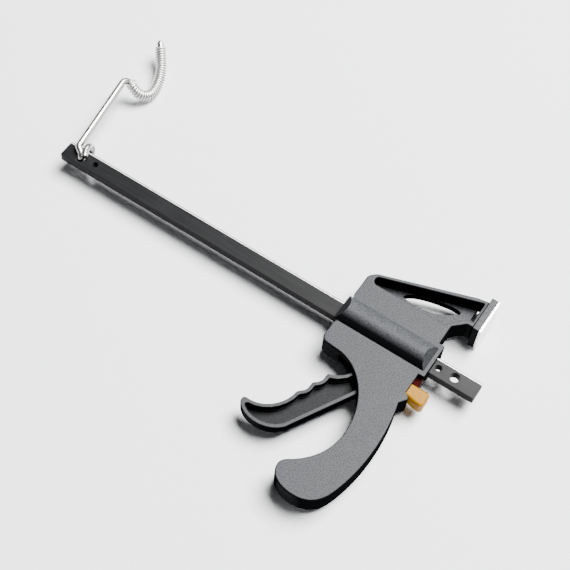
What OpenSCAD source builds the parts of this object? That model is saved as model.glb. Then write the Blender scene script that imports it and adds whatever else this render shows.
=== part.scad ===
// One-hand trigger bar clamp with a wire hook on the far end of its bar.
//
// Frame: X runs along the bar towards its free end, Y runs towards the jaw and Z is up,
// with the clamp lying on its side. The origin is the middle of the large bore in the
// bar's free end, half way through the bar's thickness.

/* [Bar] */
// Width of the bar across its flat face
bar_w = 8; // [7.8:0.1:8.1]
// Thickness of the bar
bar_t = 4; // [3.8:0.1:4.1]
// Whole length of the bar
bar_len = 203.6; // [198:0.2:215]
// Distance from the free end of the bar to the large bore
bar_free_end = 10.6; // [8:0.2:14]
// Diameter of the large bore in the free end
end_bore_d = 4; // [3.5:0.1:4.4]
// Diameter of the small stop pin bores
pin_bore_d = 2.6; // [2:0.1:3]
// Distance between a large bore and its small bore
bore_pitch = 7.4; // [6.5:0.1:8]
// Diameter of the bore that the wire hook passes through
hook_bore_d = 5; // [4.8:0.1:5.2]

/* [Body] */
// Thickness of the two flat body shells together
body_t = 10; // [9.6:0.2:10.4]
// Radius of the round housing along the bar
housing_r = 8; // [7.8:0.1:8.2]
// Wall thickness of the shells
wall = 1.7; // [1.5:0.1:1.8]
// Height of the jaw arm's web above the back face
web_t = 3.7; // [3:0.1:3.9]

/* [Jaw pad] */
// Length of the pad along the jaw
pad_len = 16.8; // [15:0.2:18]
// Width of the pad
pad_w = 14; // [12:0.5:15]
// Thickness of the plastic pad block
pad_t = 2.8; // [2.6:0.1:3]
// Thickness of the steel face plate
face_t = 1.1; // [0.8:0.1:1.2]

/* [Trigger] */
// Thickness of the trigger
trigger_t = 4.6; // [4:0.1:5]
// Width of the raised rim around the trigger
rim = 1.5; // [1.2:0.1:1.8]

/* [Wire hook] */
// Diameter of the hook's wire
wire_d = 3; // [2.6:0.1:3.1]
// Outer diameter of the close-wound sleeve on the hook
sleeve_d = 5; // [4.6:0.1:5.2]
// Length of the straight shank from the bar to the bend
shank_len = 38.5; // [30:0.5:45]
// Angle between the plane of the hook and the level it lies on
hook_tilt = 41.1; // [36:0.1:48]

/* [Hidden] */
$fn = 48;
gap = 0.15;                                  // sliding clearance round the bar
half_t = body_t / 2;
floor_z = half_t - 1.6;                      // half height of the room inside the shells
bar_x1 = bar_free_end;
bar_x0 = bar_x1 - bar_len;
hook_x = bar_x0 + 8.2;                       // bore for the wire hook
stop_x = hook_x + bore_pitch;                // small bore next to it

// Body stations along the bar
body_x0 = -54.4;
body_x1 = -9.7;
collar_t = 1.5;
collar_h = 8.2;
side_x0 = -52;
side_x1 = -12.2;
room_x0 = body_x0 + 4.5;                     // the round room for the springs
room_x1 = body_x1 - 4.7;
room_r = housing_r - 1.5;
band_y = 11.5;                               // the arm's root starts inside the body here

// Trigger, levers and pins
pivot = [-27, -15.5];
pivot_d = 3;
hub_r = 4;
nose = [-26.7, -7.8];
nose_r = 1.7;
lever_t = 2.4;
drive_x = nose[0] - nose_r - 0.1;            // face of the drive lever that the nose pushes
stop_wall = 1.8;
brake_pivot = [-17.4, 7.7];
brake_pin_d = 1.6;
brake_tilt = 3;
brake_end = -16.4;                           // lower end of the brake lever, inside the release cap
brake_half_z = 2.4;
screw_spots = [[-45.6, -12.2], [-16.6, -26.5], [-16.4, -49], [-27.5, -71], [-45, 13.6], [-17.6, 13.6]];
screw_d = 2.2;
screw_head_d = 4.2;
screw_head_t = 1.5;
pin_fit = 0.06;                               // what the shells clear pins and screws by, on the diameter
boss_d = 5.4;                                 // columns round the four grip screws
ribs = [[-24, -58, 58, 14], [-20.5, -36.6, 0, 9]];  // x, y, angle and length of the grip's inner ribs
rib_t = 1.2;
trigger_slot = [[-43, -14], [-43, -22], [-34, -40.5], [-22, -40.5], [-20, -34], [-20, -14]];
tray_reach = [[-70, -70], [-70, -10], [-36, -14], [-32.8, -20.4], [-28.6, -22.8], [-22, -25], [-22, -70]];
cap_gap_y0 = -19.1;
cap_gap_y1 = -7.2;
cap_gap_z = 3.6;
collar_gap_z = 2.9;

// Jaw arm
pad_x0 = -4.6;
pad_y0 = 20.6;
pad_screw_y = 31.4;
pad_screw_d = 2;
arm_end_wall = 1.4;

// Wire hook
eye_r = 3.9;                                 // radius of the eye's centre line
eye_y = 3.1;                                 // the eye turns about the strip beside its bore
crossing = 48;                               // the shank has crossed over to the bore by this angle
shank_lean = 8.7;
shank_side = -3.4;                           // the shank leaves the eye this far off its plane
neck_r = 3;
neck_turn = 120;
bowl_r = 6.5;
lip_r = 25;
lip_turn = 37;
lip_len = 8.4;
steps = 12;                                  // points along each arc of the hook

function arc(c, r, a0, a1, n) = [for (i = [0:n]) let (a = a0 + (a1 - a0) * i / n) c + r * [cos(a), sin(a)]];

function bezier(a, b, c, d, n) = [for (i = [0:n]) let (t = i / n, u = 1 - t)
    u * u * u * a + 3 * u * u * t * b + 3 * u * t * t * c + t * t * t * d];

// A clockwise outline moved inwards by d
function inward(p, q) = let (v = (q - p) / norm(q - p)) [v[1], -v[0]];
function inset(pts, d) = [for (i = [0:len(pts) - 1]) let (
    n = len(pts),
    n1 = inward(pts[(i + n - 1) % n], pts[i]),
    n2 = inward(pts[i], pts[(i + 1) % n])
) pts[i] + d * (n1 + n2) / (1 + n1 * n2)];

// Body and grip, clockwise from the top left, with its small bump and its corner given
function grip(bump, corner) = concat(
    [[side_x0, band_y], [side_x1, band_y]],
    bump,
    bezier([-12.3, -23.6], [-8.4, -38], [-8.8, -56], [-13.6, -69.3], 12),
    bezier([-14.6, -71.8], [-16.8, -76.2], [-21, -77.9], [-26, -77.9], 6),
    bezier([-27.6, -77.9], [-32, -77.7], [-36.9, -75.2], [-36.9, -70.4], 6),
    bezier([-36.8, -69.4], [-36.5, -68.2], [-35.4, -67.2], [-34, -66.3], 3),
    bezier([-32.6, -65.4], [-27.6, -61.6], [-22.9, -55], [-22.8, -46.5], 8),
    bezier([-22.8, -44.5], [-22.8, -39.6], [-24.3, -34.5], [-26.6, -30.2], 6),
    bezier([-27.2, -29.1], [-30, -24.2], [-35.5, -18.2], [-43.5, -17.4], 9),
    corner
);
grip_outline = grip(
    concat([[side_x1, -17.9]], arc([-11.6, -20.1], 1.5, 60, -50, 5)),
    arc([side_x0 + 2.8, -14.2], 2.8, 270, 180, 5)
);
grip_room = inset(grip([], [[side_x0, -16.6]]), wall);

arm_outline = [
    [side_x0, band_y - 3], [side_x0, 18.2], [-51.4, 19.4], [-49.8, 21.1], [-48.6, 21.8],
    [-9.8, 35.3], [pad_x0 - 0.1, 36.3], [pad_x0 - 0.1, 22], [-7.4, 22], [-12.1, 17.4],
    [side_x1, band_y - 3]
];

// The window in the arm, and the eye-shaped opening through its web
window_outline = concat(
    arc([-46.7, 18.7], 1.85, 270, 108, 8),
    [[pad_x0 - arm_end_wall - 0.1, 34.3], [pad_x0 - arm_end_wall - 0.1, 24.1], [-8.6, 23.9], [-15.2, 16.8]]
);
eye_outline = concat(
    bezier([-36.4, 21.6], [-35.4, 26.2], [-22, 28.7], [-17.6, 29.2], 8),
    bezier([-16, 29.4], [-14.2, 29.5], [-12.4, 29], [-12.8, 28], 4),
    bezier([-13.1, 27.4], [-18, 23.4], [-22.5, 21], [-32, 20.9], 8)
);

wave = 7.15;
wave_from = [-41.9, -27.2];
wave_dir = [-0.408, -0.913];
wave_out = [-0.913, 0.408];
function wave_point(s) = wave_from + s * wave_dir - 1.1 * pow(abs(sin(180 * s / wave)), 1.4) * wave_out;

// Trigger blade below its hub, clockwise from the hub's left side, with its tip and brow given
function blade(tip, brow) = concat(
    [pivot + hub_r * [0.55, 0.83], pivot + hub_r * [1, 0], [-23.2, -18.4], [-28.7, -29.4]],
    [[-42.2, -53.8]],
    bezier([-43.4, -56.2], [-49, -62.8], [-61, -61.5], [-63.6, -55.8], 10),
    tip,
    bezier([-61.2, -53.5], [-54, -53.5], [-48.4, -47], wave_point(2 * wave + 0.5), 9),
    [for (i = [14:-1:0]) wave_point(2 * wave * i / 14)],
    brow,
    [pivot + hub_r * [-0.8, 0.6]]
);
trigger_outline = blade(
    arc([-62.2, -55], 1.5, 190, 85, 4),
    bezier([-41.2, -26.7], [-39.6, -26.5], [-37.6, -24.9], [-35.9, -23.3], 4)
);
trigger_tray = inset(blade([], [[-38.4, -25.6], [-35.9, -23.3]]), rim);

module bar_slot(grow = gap) {
    cube([400, bar_w + 2 * grow, bar_t + 2 * grow], center = true);
}

module along_x(x0, x1, r) {
    translate([x0, 0, 0]) rotate([0, 90, 0]) cylinder(r = r, h = x1 - x0);
}

module slab(z0, z1) {
    translate([0, 0, z0]) linear_extrude(z1 - z0) children();
}

// --- Bar ---

module bar() {
    color("#3a3c40") difference() {
        translate([bar_x0, -bar_w / 2, -bar_t / 2]) cube([bar_len, bar_w, bar_t]);
        for (b = [[0, end_bore_d], [-bore_pitch, pin_bore_d], [stop_x, pin_bore_d], [hook_x, hook_bore_d]])
            translate([b[0], 0, -bar_t]) cylinder(d = b[1], h = 2 * bar_t);
    }
}

// --- Shells ---

// The round housing with its ends cut back at 45 degrees, and a thin collar at each end
module housing() {
    cut = housing_r - half_t;
    intersection() {
        along_x(body_x0, body_x1, housing_r);
        rotate([90, 0, 0]) linear_extrude(4 * housing_r, center = true) polygon([
            [body_x0 + collar_t, 0], [body_x0 + collar_t, half_t], [body_x0 + collar_t + cut, housing_r],
            [body_x1 - collar_t - cut, housing_r], [body_x1 - collar_t, half_t], [body_x1 - collar_t, 0]
        ]);
    }
    translate([body_x0, -collar_h, 0]) cube([body_x1 - body_x0, 2 * collar_h, half_t]);
}

// Everything that is taken out of both shells alike, drawn for z > 0
module shell_room() {
    slab(-1, floor_z) difference() {
        polygon(grip_room);
        for (s = [0:3]) translate(screw_spots[s]) circle(d = boss_d);
        // stop wall behind the drive lever
        translate([drive_x + 0.05, bar_w / 2 + 0.6]) square([stop_wall, 20]);
        translate(pivot) circle(r = 3);
        for (r = ribs) translate([r[0], r[1]]) rotate(r[2]) square([r[3], rib_t]);
    }
    // the pivot bosses stand back from the trigger
    slab(-1, trigger_t / 2 + 0.15) translate(pivot) circle(r = 3.1);
    difference() {
        along_x(room_x0, room_x1, room_r);
        translate([drive_x + 0.05, -bar_w / 2 - 0.6, -50]) cube([stop_wall, 100, 100]);
    }
    bar_slot();
    translate([pivot[0], pivot[1], -1]) cylinder(d = pivot_d + pin_fit, h = half_t + 0.2);
    translate([brake_pivot[0], brake_pivot[1], -1]) cylinder(d = brake_pin_d + pin_fit, h = half_t + 0.2);
    // the trigger swings through this slot in the grip
    slab(-1, trigger_t / 2 + 0.35)
        polygon(trigger_slot);
    // the release cap comes out here
    translate([side_x1 - 3, cap_gap_y0, -1]) cube([6, cap_gap_y1 - cap_gap_y0, 1 + cap_gap_z]);
    translate([body_x1 - 5, -collar_h - 1, -1]) cube([8, collar_h - 4.2, 1 + collar_gap_z]);
    along_pad_screw(pad_screw_d / 2 + 0.05);
}

module along_pad_screw(r) {
    translate([0, pad_screw_y, 0]) along_x(pad_x0 - 3, pad_x0 + 2, r);
}

module shell_body() {
    slab(0, half_t) union() {
        polygon(grip_outline);
        polygon(arm_outline);
    }
    housing();
}

module front_shell() {
    color("#2b2c2f") difference() {
        shell_body();
        shell_room();
        slab(-1, 2 * half_t) polygon(window_outline);
        for (s = screw_spots) translate([s[0], s[1], -1]) cylinder(d = screw_d + pin_fit, h = 4.4);
    }
}

module back_shell() {
    color("#26272a") mirror([0, 0, 1]) difference() {
        shell_body();
        shell_room();
        slab(-1, half_t - web_t) polygon(window_outline);
        slab(-1, 2 * half_t) polygon(eye_outline);
        slab(-1, 3.6) translate([-8.1, pad_screw_y - 3.4]) square([2, 5.6]);
        for (s = screw_spots) translate([s[0], s[1], -1]) {
            cylinder(d = screw_d + pin_fit, h = half_t + 2);
            translate([0, 0, 1 + half_t - screw_head_t - 0.3]) cylinder(d = screw_head_d + 0.3, h = 3);
        }
    }
}

module shell_screw() {
    difference() {
        union() {
            translate([0, 0, -half_t + 0.3]) cylinder(d = screw_head_d, h = screw_head_t);
            translate([0, 0, -half_t + 0.3]) cylinder(d = screw_d, h = half_t + 2.8);
        }
        for (a = [0, 90]) rotate(a) cube([2.4, 0.6, 2 * half_t - 0.6 + 1.6], center = true);
    }
}

module shell_screws() {
    color("#8d9094") for (s = screw_spots) translate(s) shell_screw();
}

// --- Jaw pad ---

module jaw_pad() {
    color("#34363a") difference() {
        translate([pad_x0, pad_y0, -pad_w / 2]) cube([pad_t, pad_len, pad_w]);
        along_pad_screw(pad_screw_d / 2 + 0.03);
        // shallow seat that the steel plate's rim closes
        translate([pad_x0 + pad_t - 0.5, pad_y0 + 1, -pad_w / 2 + 1]) cube([1, pad_len - 2, pad_w - 2]);
    }
}

module pad_face_plate() {
    color("#d9dadb") union() {
        translate([pad_x0 + pad_t, pad_y0, -pad_w / 2]) cube([face_t, pad_len, pad_w]);
        translate([pad_x0 + pad_t - 0.45, pad_y0 + 1.1, -pad_w / 2 + 1.1])
            cube([0.5, pad_len - 2.2, pad_w - 2.2]);
    }
}

module pad_screw() {
    head_x = pad_x0 - arm_end_wall - 0.1;
    color("#c9cacc") difference() {
        translate([0, pad_screw_y, 0]) union() {
            along_x(head_x - 1.3, head_x - 0.02, 1.25);
            along_x(head_x - 0.1, pad_x0 + pad_t - 0.9, pad_screw_d / 2);
        }
        translate([head_x - 1.3, pad_screw_y, 0]) cube([1, 0.5, 4], center = true);
    }
}

// --- Trigger and drive ---

module trigger() {
    half = trigger_t / 2;
    color("#2d2e31") difference() {
        union() {
            slab(-half, half) union() {
                polygon(trigger_outline);
                translate(pivot) circle(r = hub_r);
                translate(nose) circle(r = nose_r);
                polygon([pivot + [-3.2, 1], pivot + [-1.2, 3.8], nose + [-nose_r, 0], nose + [nose_r, 0],
                    pivot + [3.6, 1]]);
            }
        }
        // hollow front face inside the rim, left solid round the hub
        slab(half - 3.1, half + 1) intersection() {
            polygon(trigger_tray);
            polygon(tray_reach);
        }
        translate([pivot[0], pivot[1], -10]) cylinder(d = pivot_d + 0.06, h = 20);
    }
    // round ejector marks on the web
    for (m = [[-34.3, -27.9], [-52.6, -55]])
        color("#2d2e31") translate([m[0], m[1], half - 3.2]) cylinder(d = 3, h = 0.3);
}

module trigger_pin() {
    color("#b9bbbe") translate([pivot[0], pivot[1], -4.05]) cylinder(d = pivot_d, h = 8.1);
}

// A steel plate that the bar passes through
module lever_plate(y0, y1, half_z) {
    difference() {
        translate([-lever_t / 2, 0, 0]) union() {
            translate([0, -4.9, -4]) cube([lever_t, 9.8, 8]);
            translate([0, y0, -half_z]) cube([lever_t, y1 - y0, 2 * half_z]);
        }
        cube([3 * lever_t, bar_w + 0.5, bar_t + 0.5], center = true);
    }
}

module drive_lever() {
    color("#7d8084") translate([drive_x - lever_t / 2, 0, 0]) lever_plate(-9.6, 8.4, 2.8);
}

// A round wire wound about the bar
module coil(x0, x1, r, d, turns, n = 14, m = 6) {
    count = round(turns * n);
    pitch = (x1 - x0 - d) / turns;
    points = [for (i = [0:count]) let (a = 360 * i / n) for (j = [0:m - 1]) let (
        b = 360 * j / m,
        q = r + d / 2 * cos(b)
    ) [x0 + d / 2 + pitch * i / n + d / 2 * sin(b), q * cos(a), q * sin(a)]];
    faces = concat(
        [[for (j = [0:m - 1]) j]],
        [for (i = [0:count - 1]) for (j = [0:m - 1]) let (k = (j + 1) % m)
            [i * m + j, (i + 1) * m + j, (i + 1) * m + k, i * m + k]],
        [[for (j = [m - 1:-1:0]) count * m + j]]
    );
    polyhedron(points, faces, convexity = 10);
}

module drive_spring() {
    color("#b5b8bb") coil(room_x0 + 0.05, drive_x - lever_t - 0.05, 5.55, 0.9, 7);
}

// --- Brake and release ---

module brake_frame() {
    translate([brake_pivot[0], brake_pivot[1], 0]) rotate(brake_tilt)
        translate([-brake_pivot[0], -brake_pivot[1], 0]) children();
}

module brake_lever() {
    color("#7d8084") brake_frame() difference() {
        union() {
            translate([brake_pivot[0], 0, 0]) lever_plate(brake_end, brake_pivot[1], brake_half_z);
            translate([brake_pivot[0], brake_pivot[1], -brake_half_z])
                cylinder(r = 1.6, h = 2 * brake_half_z);
        }
        translate([brake_pivot[0], brake_pivot[1], -5]) cylinder(d = brake_pin_d + 0.06, h = 10);
    }
}

module brake_pin() {
    color("#b9bbbe") translate([brake_pivot[0], brake_pivot[1], -4.05]) cylinder(d = brake_pin_d, h = 8.1);
}

module brake_spring() {
    color("#b5b8bb") coil(drive_x + stop_wall + 0.1, brake_pivot[0] - lever_t / 2 - 0.05, 5.5, 0.7, 3.5);
}

module release_cap() {
    color("#f08a28") difference() {
        union() {
            // sleeve round the lever's end and the stem, the thumb face, and the web above them
            slab(-3.2, 3.2)
                polygon([[-18.4, -17.4], [-18.4, -10.6], [-12.6, -12.4],
                         [-8, -12.4], [-8, -17.9], [-10.6, -18.1]]);
            slab(-3.5, 3.5) polygon(concat(
                [[-8.1, -18.4], [-8.1, -12.2]],
                arc([-5.2, -12.9], 1, 90, 10, 4),
                arc([-5, -18.1], 1, 0, -90, 4)
            ));
            slab(-2.2, 2.2) polygon([[-14.2, -12.6], [-14.2, -5.4], [-10.4, -5.4], [-9.6, -12.6]]);
        }
        brake_frame() translate([brake_pivot[0] - lever_t / 2 - 0.02, brake_end - 0.02, -brake_half_z - 0.02])
            cube([lever_t + 0.04, 30, 2 * brake_half_z + 0.04]);
    }
}

// --- Wire hook ---

function turned(a, v) = [cos(a) * v[0] - sin(a) * v[1], sin(a) * v[0] + cos(a) * v[1]];

// Sideways place of the wire round the eye, from the shank (0) back over the bar (360)
function eye_side(a) =
    a < crossing ? shank_side * (1 + cos(180 * a / crossing)) / 2 :
    a > 300 ? 0.3 * (a - 300) / 60 : 0;

// Flat layout of the hook past its straight shank: along it, and across it
neck_arc = [for (i = [0:steps]) let (h = neck_turn * i / steps) neck_r * [sin(h), 1 - cos(h)]];
bowl_start = neck_arc[steps];
bowl_c = bowl_start + bowl_r * [sin(neck_turn), -cos(neck_turn)];
bowl_arc = [for (i = [1:steps]) let (h = neck_turn * (1 - i / steps)) bowl_c + bowl_r * [-sin(h), cos(h)]];
lip_c = bowl_c + [0, bowl_r - lip_r];
lip_arc = [for (i = [1:6]) let (h = lip_turn * i / 6) lip_c + lip_r * [sin(h), cos(h)]];
lip_dir = [cos(lip_turn), -sin(lip_turn)];
flat_layout = concat(neck_arc, bowl_arc, lip_arc, [lip_arc[5] + lip_len * lip_dir]);

along = [-sin(shank_lean), cos(shank_lean), 0];
across = [cos(hook_tilt) * cos(shank_lean), cos(hook_tilt) * sin(shank_lean), -sin(hook_tilt)];
shank_from = [hook_x + shank_side, eye_y, eye_r];
function in_hook_plane(p) = shank_from + (shank_len + p[0]) * along + p[1] * across;

eye_path = [for (a = [375:-15:0]) [hook_x + eye_side(a), eye_y - eye_r * sin(a), eye_r * cos(a)]];
wire_path = concat(
    [[hook_x + 2.3, -0.4, eye_r + 0.1], [hook_x + 1.3, 1.1, eye_r + 0.1]],
    [for (i = [1:len(eye_path) - 1]) eye_path[i]],
    [shank_from + 2.5 * along + [0.15, 0, 0]],
    [for (p = flat_layout) in_hook_plane(p)]
);
sleeve_path = [for (i = [8:len(flat_layout) - 1]) in_hook_plane(
    i < len(flat_layout) - 1 ? flat_layout[i] : flat_layout[i] - 1.6 * lip_dir)];

// The far end of the wire is rounded over
end_angles = [35, 65];
end_heading = unit(wire_path[len(wire_path) - 1] - wire_path[len(wire_path) - 2]);
round_end = [for (a = end_angles) wire_path[len(wire_path) - 1] + wire_d / 2 * sin(a) * end_heading];
end_radii = [for (a = end_angles) wire_d / 2 * cos(a)];

// Rings of m points square to a path, each turned as little as possible from the last
function unit(v) = v / norm(v);
function heading(p, i) = unit(p[min(i + 1, len(p) - 1)] - p[max(i - 1, 0)]);
function carried(n, t) = unit(n - (n * t) * t);
function normals(p, i = 0, n = [1, 0.2, 0.1]) =
    i == len(p) ? [] : let (m = carried(n, heading(p, i))) concat([m], normals(p, i + 1, m));
function rings(p, r, m) = let (ns = normals(p)) [for (i = [0:len(p) - 1]) let (
    t = heading(p, i),
    b = cross(t, ns[i])
) for (j = [0:m - 1]) p[i] + r[i] * (cos(360 * j / m) * ns[i] + sin(360 * j / m) * b)];
function skin(first, count, m, flip) = [for (i = [0:count - 2]) for (j = [0:m - 1]) let (
    k = (j + 1) % m,
    a = first + i * m
) flip ? [a + j, a + m + j, a + m + k, a + k] : [a + j, a + k, a + m + k, a + m + j]];

module wire(p, r, m) {
    n = len(p);
    polyhedron(rings(p, r, m), concat(
        [[for (j = [m - 1:-1:0]) j]],
        skin(0, n, m, false),
        [[for (j = [0:m - 1]) (n - 1) * m + j]]
    ), convexity = 6);
}

module hollow_wire(p, r_out, r_in, m) {
    n = len(p);
    s = n * m;
    e = (n - 1) * m;
    polyhedron(concat(rings(p, [for (q = p) r_out], m), rings(p, [for (q = p) r_in], m)), concat(
        skin(0, n, m, false),
        skin(s, n, m, true),
        [for (j = [0:m - 1]) let (k = (j + 1) % m) [j, s + j, s + k, k]],
        [for (j = [0:m - 1]) let (k = (j + 1) % m) [e + j, e + k, s + e + k, s + e + j]]
    ), convexity = 8);
}

module wire_hook() {
    color("#c6c8ca")
        wire(concat(wire_path, round_end), concat([for (p = wire_path) wire_d / 2], end_radii), 12);
}

module hook_sleeve() {
    color("#d2d4d6") hollow_wire(sleeve_path, sleeve_d / 2, wire_d / 2 + 0.06, 12);
}

bar();
front_shell();
back_shell();
shell_screws();
jaw_pad();
pad_face_plate();
pad_screw();
trigger();
trigger_pin();
drive_lever();
drive_spring();
brake_lever();
brake_pin();
brake_spring();
release_cap();
wire_hook();
hook_sleeve();
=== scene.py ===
"""Looks of a one-hand trigger bar clamp with a wire hook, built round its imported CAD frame.

Shapes are worked out in millimetres in the frame of the CAD part and become metres
when a piece is finished. X runs along the bar, Y towards the jaw, Z up.
"""
import math

import bmesh
import bpy
from mathutils import Matrix, Vector


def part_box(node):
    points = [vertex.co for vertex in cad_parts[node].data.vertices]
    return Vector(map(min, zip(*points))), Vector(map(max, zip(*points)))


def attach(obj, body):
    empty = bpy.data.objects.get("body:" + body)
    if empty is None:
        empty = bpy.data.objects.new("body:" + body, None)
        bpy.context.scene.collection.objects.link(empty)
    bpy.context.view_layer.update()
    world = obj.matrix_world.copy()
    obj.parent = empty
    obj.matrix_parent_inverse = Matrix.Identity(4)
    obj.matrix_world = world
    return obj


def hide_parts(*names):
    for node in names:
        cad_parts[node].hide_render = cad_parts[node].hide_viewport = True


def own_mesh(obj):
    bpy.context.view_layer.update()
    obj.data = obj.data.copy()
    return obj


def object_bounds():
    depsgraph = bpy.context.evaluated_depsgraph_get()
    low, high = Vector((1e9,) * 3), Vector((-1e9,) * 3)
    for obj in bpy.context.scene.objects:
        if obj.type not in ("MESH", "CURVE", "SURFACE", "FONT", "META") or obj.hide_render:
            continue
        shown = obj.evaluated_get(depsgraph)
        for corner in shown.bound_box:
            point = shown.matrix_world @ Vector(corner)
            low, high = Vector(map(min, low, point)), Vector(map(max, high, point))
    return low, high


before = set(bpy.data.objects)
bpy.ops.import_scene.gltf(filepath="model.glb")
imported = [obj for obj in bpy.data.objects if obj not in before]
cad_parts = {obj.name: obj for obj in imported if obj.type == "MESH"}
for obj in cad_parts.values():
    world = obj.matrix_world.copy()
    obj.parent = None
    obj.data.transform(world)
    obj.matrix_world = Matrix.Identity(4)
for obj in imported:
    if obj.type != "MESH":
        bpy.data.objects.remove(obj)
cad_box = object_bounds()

MM = 0.001
MITRE_LIMIT = 0.35         # keeps the tip of a very sharp corner from running away
SIDE_SHARE = 0.45          # the most of a side that one rounded corner may use up
ROUND_STEPS = 4            # faces across a rounded edge or corner
WELD, SLIVER = 0.0008, 0.0004   # closer points become one, and shorter edges go
PLATE_CREASE, WIRE_CREASE = 32, 50   # degrees past which an edge stays sharp
FLOOR_GAP = 0.00005        # metres
scene = bpy.context.scene


def box_mm(node):
    low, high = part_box(node)
    return low / MM, high / MM


# ---------------------------------------------------------------------------
# Outlines, in millimetres
# ---------------------------------------------------------------------------

def arc(centre, r, start, end, steps):
    """Points on an arc, angles in degrees."""
    angles = [math.radians(start + (end - start) * i / steps) for i in range(steps + 1)]
    return [(centre[0] + r * math.cos(a), centre[1] + r * math.sin(a)) for a in angles]


def bezier(a, b, c, d, steps):
    points = []
    for i in range(steps + 1):
        t = i / steps
        u = 1 - t
        weights = (u * u * u, 3 * u * u * t, 3 * u * t * t, t * t * t)
        points.append(tuple(sum(w * p[k] for w, p in zip(weights, (a, b, c, d))) for k in range(2)))
    return points


def area(points):
    return sum(p[0] * q[1] - q[0] * p[1] for p, q in zip(points, points[1:] + points[:1])) / 2


def offset(points, d):
    """A closed outline moved inwards by d, or outwards where d is negative."""
    if abs(d) < 1e-9:
        return list(points)
    turn = 1 if area(points) > 0 else -1
    moved = []
    count = len(points)
    for i in range(count):
        before, here, after = (Vector(points[k % count]) for k in (i - 1, i, i + 1))
        e1 = (here - before).normalized()
        e2 = (after - here).normalized()
        n1 = Vector((-e1.y, e1.x)) * turn
        n2 = Vector((-e2.y, e2.x)) * turn
        moved.append(tuple(here + (n1 + n2) * (d / max(MITRE_LIMIT, 1 + n1.dot(n2)))))
    return moved


def soften(points, r, sharp=24):
    """An outline with its corners of more than sharp degrees rounded to about radius r."""
    rounded = []
    count = len(points)
    for i in range(count):
        before, here, after = (Vector(points[k % count]) for k in (i - 1, i, i + 1))
        turn = (here - before).angle(after - here)
        if math.degrees(turn) < sharp:
            rounded.append(tuple(here))
            continue
        reach = r * math.tan(turn / 2)
        reach = min(reach, (here - before).length * SIDE_SHARE, (after - here).length * SIDE_SHARE)
        a = here + (before - here).normalized() * reach
        b = here + (after - here).normalized() * reach
        handle = 0.55 + 0.1 * turn / math.pi     # close to a true arc
        rounded += bezier(a, a.lerp(here, handle), b.lerp(here, handle), b, ROUND_STEPS)
    return rounded


def circle(centre, r, steps=48):
    return arc(centre, r, 0, 360, steps)[:-1]


# ---------------------------------------------------------------------------
# Building meshes
# ---------------------------------------------------------------------------

def edge_profile(z, r, up):
    """(inset, height) pairs from a wall onto the level z, rounded to radius r."""
    if r == 0:
        return [(0, z)]
    angles = [math.pi / 2 * k / ROUND_STEPS for k in range(ROUND_STEPS + 1)]
    return [(r * (1 - math.cos(a)), z - up * r * (1 - math.sin(a))) for a in angles]


def join_rings(bm, rings):
    for a, b in zip(rings, rings[1:]):
        for i in range(len(a)):
            j = (i + 1) % len(a)
            bm.faces.new((a[i], a[j], b[j], b[i]))


def add_wall(bm, outline, profile, side):
    """Rings of vertices up a wall, joined by faces. Returns the first and the last ring."""
    rings = [[bm.verts.new((x, y, z)) for x, y in offset(outline, side * inset)]
             for inset, z in profile]
    join_rings(bm, rings)
    return rings[0], rings[-1]


def add_cap(bm, rings):
    """A flat face inside the first ring with the other rings as holes in it."""
    edges = []
    for ring in rings:
        for a, b in zip(ring, ring[1:] + ring[:1]):
            edges.append(bm.edges.get((a, b)) or bm.edges.new((a, b)))
    bmesh.ops.triangle_fill(bm, use_beauty=True, edges=edges)


def piece_from(bm, name):
    bmesh.ops.recalc_face_normals(bm, faces=bm.faces)
    mesh = bpy.data.meshes.new(name)
    bm.to_mesh(mesh)
    bm.free()
    piece = bpy.data.objects.new(name, mesh)
    scene.collection.objects.link(piece)
    return piece


def slab(name, outline, low, high, r_low, r_high, holes=()):
    """A plate with rounded edges, and with holes right through it."""
    bm = bmesh.new()
    profile = edge_profile(low, r_low, -1)[::-1] + edge_profile(high, r_high, 1)
    bottom, top = [], []
    for points, side in [(outline, 1)] + [(hole, -1) for hole in holes]:
        first, last = add_wall(bm, points, profile, side)
        bottom.append(first)
        top.append(last)
    add_cap(bm, bottom)
    add_cap(bm, top)
    return piece_from(bm, name)


def prism(outline, low, high):
    """A plate with sharp edges, to cut or join with."""
    return slab("tool", outline, low, high, 0, 0)


def round_edges(bm, edges, r):
    bmesh.ops.bevel(bm, geom=edges, offset=r, segments=3, profile=0.5, affect="EDGES")


def block(name, low, high, r=0.0):
    """A box with its edges rounded."""
    bm = bmesh.new()
    bmesh.ops.create_cube(bm, size=1)
    size = Vector(high) - Vector(low)
    centre = (Vector(high) + Vector(low)) / 2
    placed = Matrix.Translation(centre) @ Matrix.Diagonal((*size, 1))
    bmesh.ops.transform(bm, matrix=placed, verts=bm.verts)
    if r:
        round_edges(bm, bm.edges[:], r)
    return piece_from(bm, name)


def rod(name, start, end, r, sides=48, ease=0.0):
    """A cylinder between two points, with its rims eased."""
    start, end = Vector(start), Vector(end)
    length = (end - start).length
    turn = Vector((0, 0, 1)).rotation_difference(end - start).to_matrix().to_4x4()
    piece = slab(name, circle((0, 0), r, sides), 0, length, ease, ease)
    piece.data.transform(Matrix.Translation(start) @ turn)
    return piece


def bake(piece):
    """Makes the result of a piece's modifiers its own mesh."""
    shaped = piece.evaluated_get(bpy.context.evaluated_depsgraph_get())
    mesh = bpy.data.meshes.new_from_object(shaped)
    old = piece.data
    piece.modifiers.clear()
    piece.data = mesh
    bpy.data.meshes.remove(old)


def combine(piece, tools, operation):
    """Joins tools to a piece or cuts them out of it."""
    for tool in tools:
        modifier = piece.modifiers.new("combine", "BOOLEAN")
        modifier.operation = operation
        modifier.object = tool
        modifier.solver = "EXACT"
    bake(piece)
    for tool in tools:
        bpy.data.objects.remove(tool)


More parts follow.
